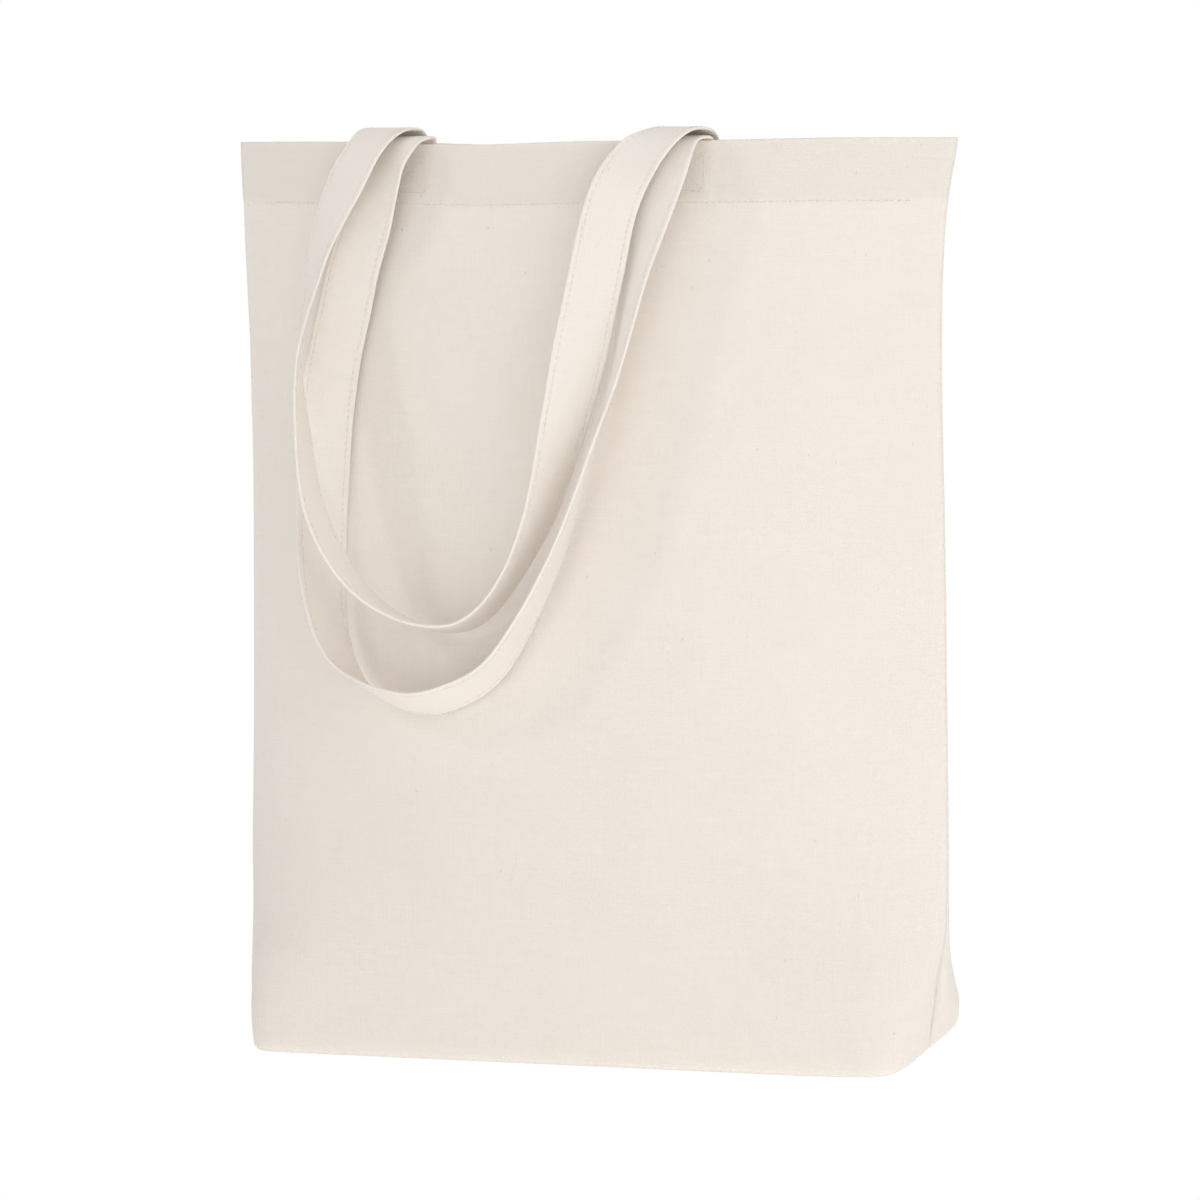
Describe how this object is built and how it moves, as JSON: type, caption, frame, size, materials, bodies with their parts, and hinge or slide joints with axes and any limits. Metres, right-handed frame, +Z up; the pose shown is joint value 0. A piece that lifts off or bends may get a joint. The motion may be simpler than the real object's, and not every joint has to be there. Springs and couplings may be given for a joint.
{
  "type": "canvas tote bag",
  "caption": "Open-topped natural cotton canvas tote bag with a hemmed mouth, boxed bottom corners and long webbing handles that hang over the front and swing up for carrying.",
  "frame": {"origin": "centre of the underside of the base, on the floor, in the plane of the side seams", "axes": "+Z up to the mouth, +X to the right along the width as seen from the front, +Y from the front to the back"},
  "size_m": [0.3736, 0.1059, 0.4271],
  "materials": {
    "canvas": "unbleached plain-weave cotton canvas, matt, with small seed flecks",
    "webbing": "folded cotton strap, matt, topstitched near both edges",
    "thread": "natural cotton sewing thread, matt"
  },
  "bodies": {
    "bag": {"base_panel": "canvas", "front_panel": "canvas", "back_panel": "canvas", "front_hem": "canvas", "back_hem": "canvas", "front_base_seam": "canvas", "back_base_seam": "canvas", "left_side_seam": "canvas", "right_side_seam": "canvas", "left_corner_seam": "canvas", "right_corner_seam": "canvas", "front_handle_left_end": "webbing", "front_handle_right_end": "webbing", "back_handle_left_end": "webbing", "back_handle_right_end": "webbing", "front_handle_left_tack": "thread", "front_handle_right_tack": "thread", "back_handle_left_tack": "thread", "back_handle_right_tack": "thread", "front_hem_stitching": "thread", "back_hem_stitching": "thread"},
    "front_handle": {"front_handle": "webbing", "front_handle_stitching": "thread"},
    "back_handle": {"back_handle": "webbing", "back_handle_stitching": "thread"}
  },
  "joints": [
    {"name": "front_handle_swing", "type": "hinge", "parent": "bag", "child": "front_handle", "pos_m": [0, -0.02845, 0.4216], "axis": [-1, 0, 0], "range_deg": [0, 180]},
    {"name": "back_handle_swing", "type": "hinge", "parent": "bag", "child": "back_handle", "pos_m": [0, -0.00042, 0.4216], "axis": [-1, 0, 0], "range_deg": [0, 180]}
  ],
  "couplings": [
    {"joint": "back_handle_swing", "follows": "front_handle_swing", "ratio": 1}
  ]
}
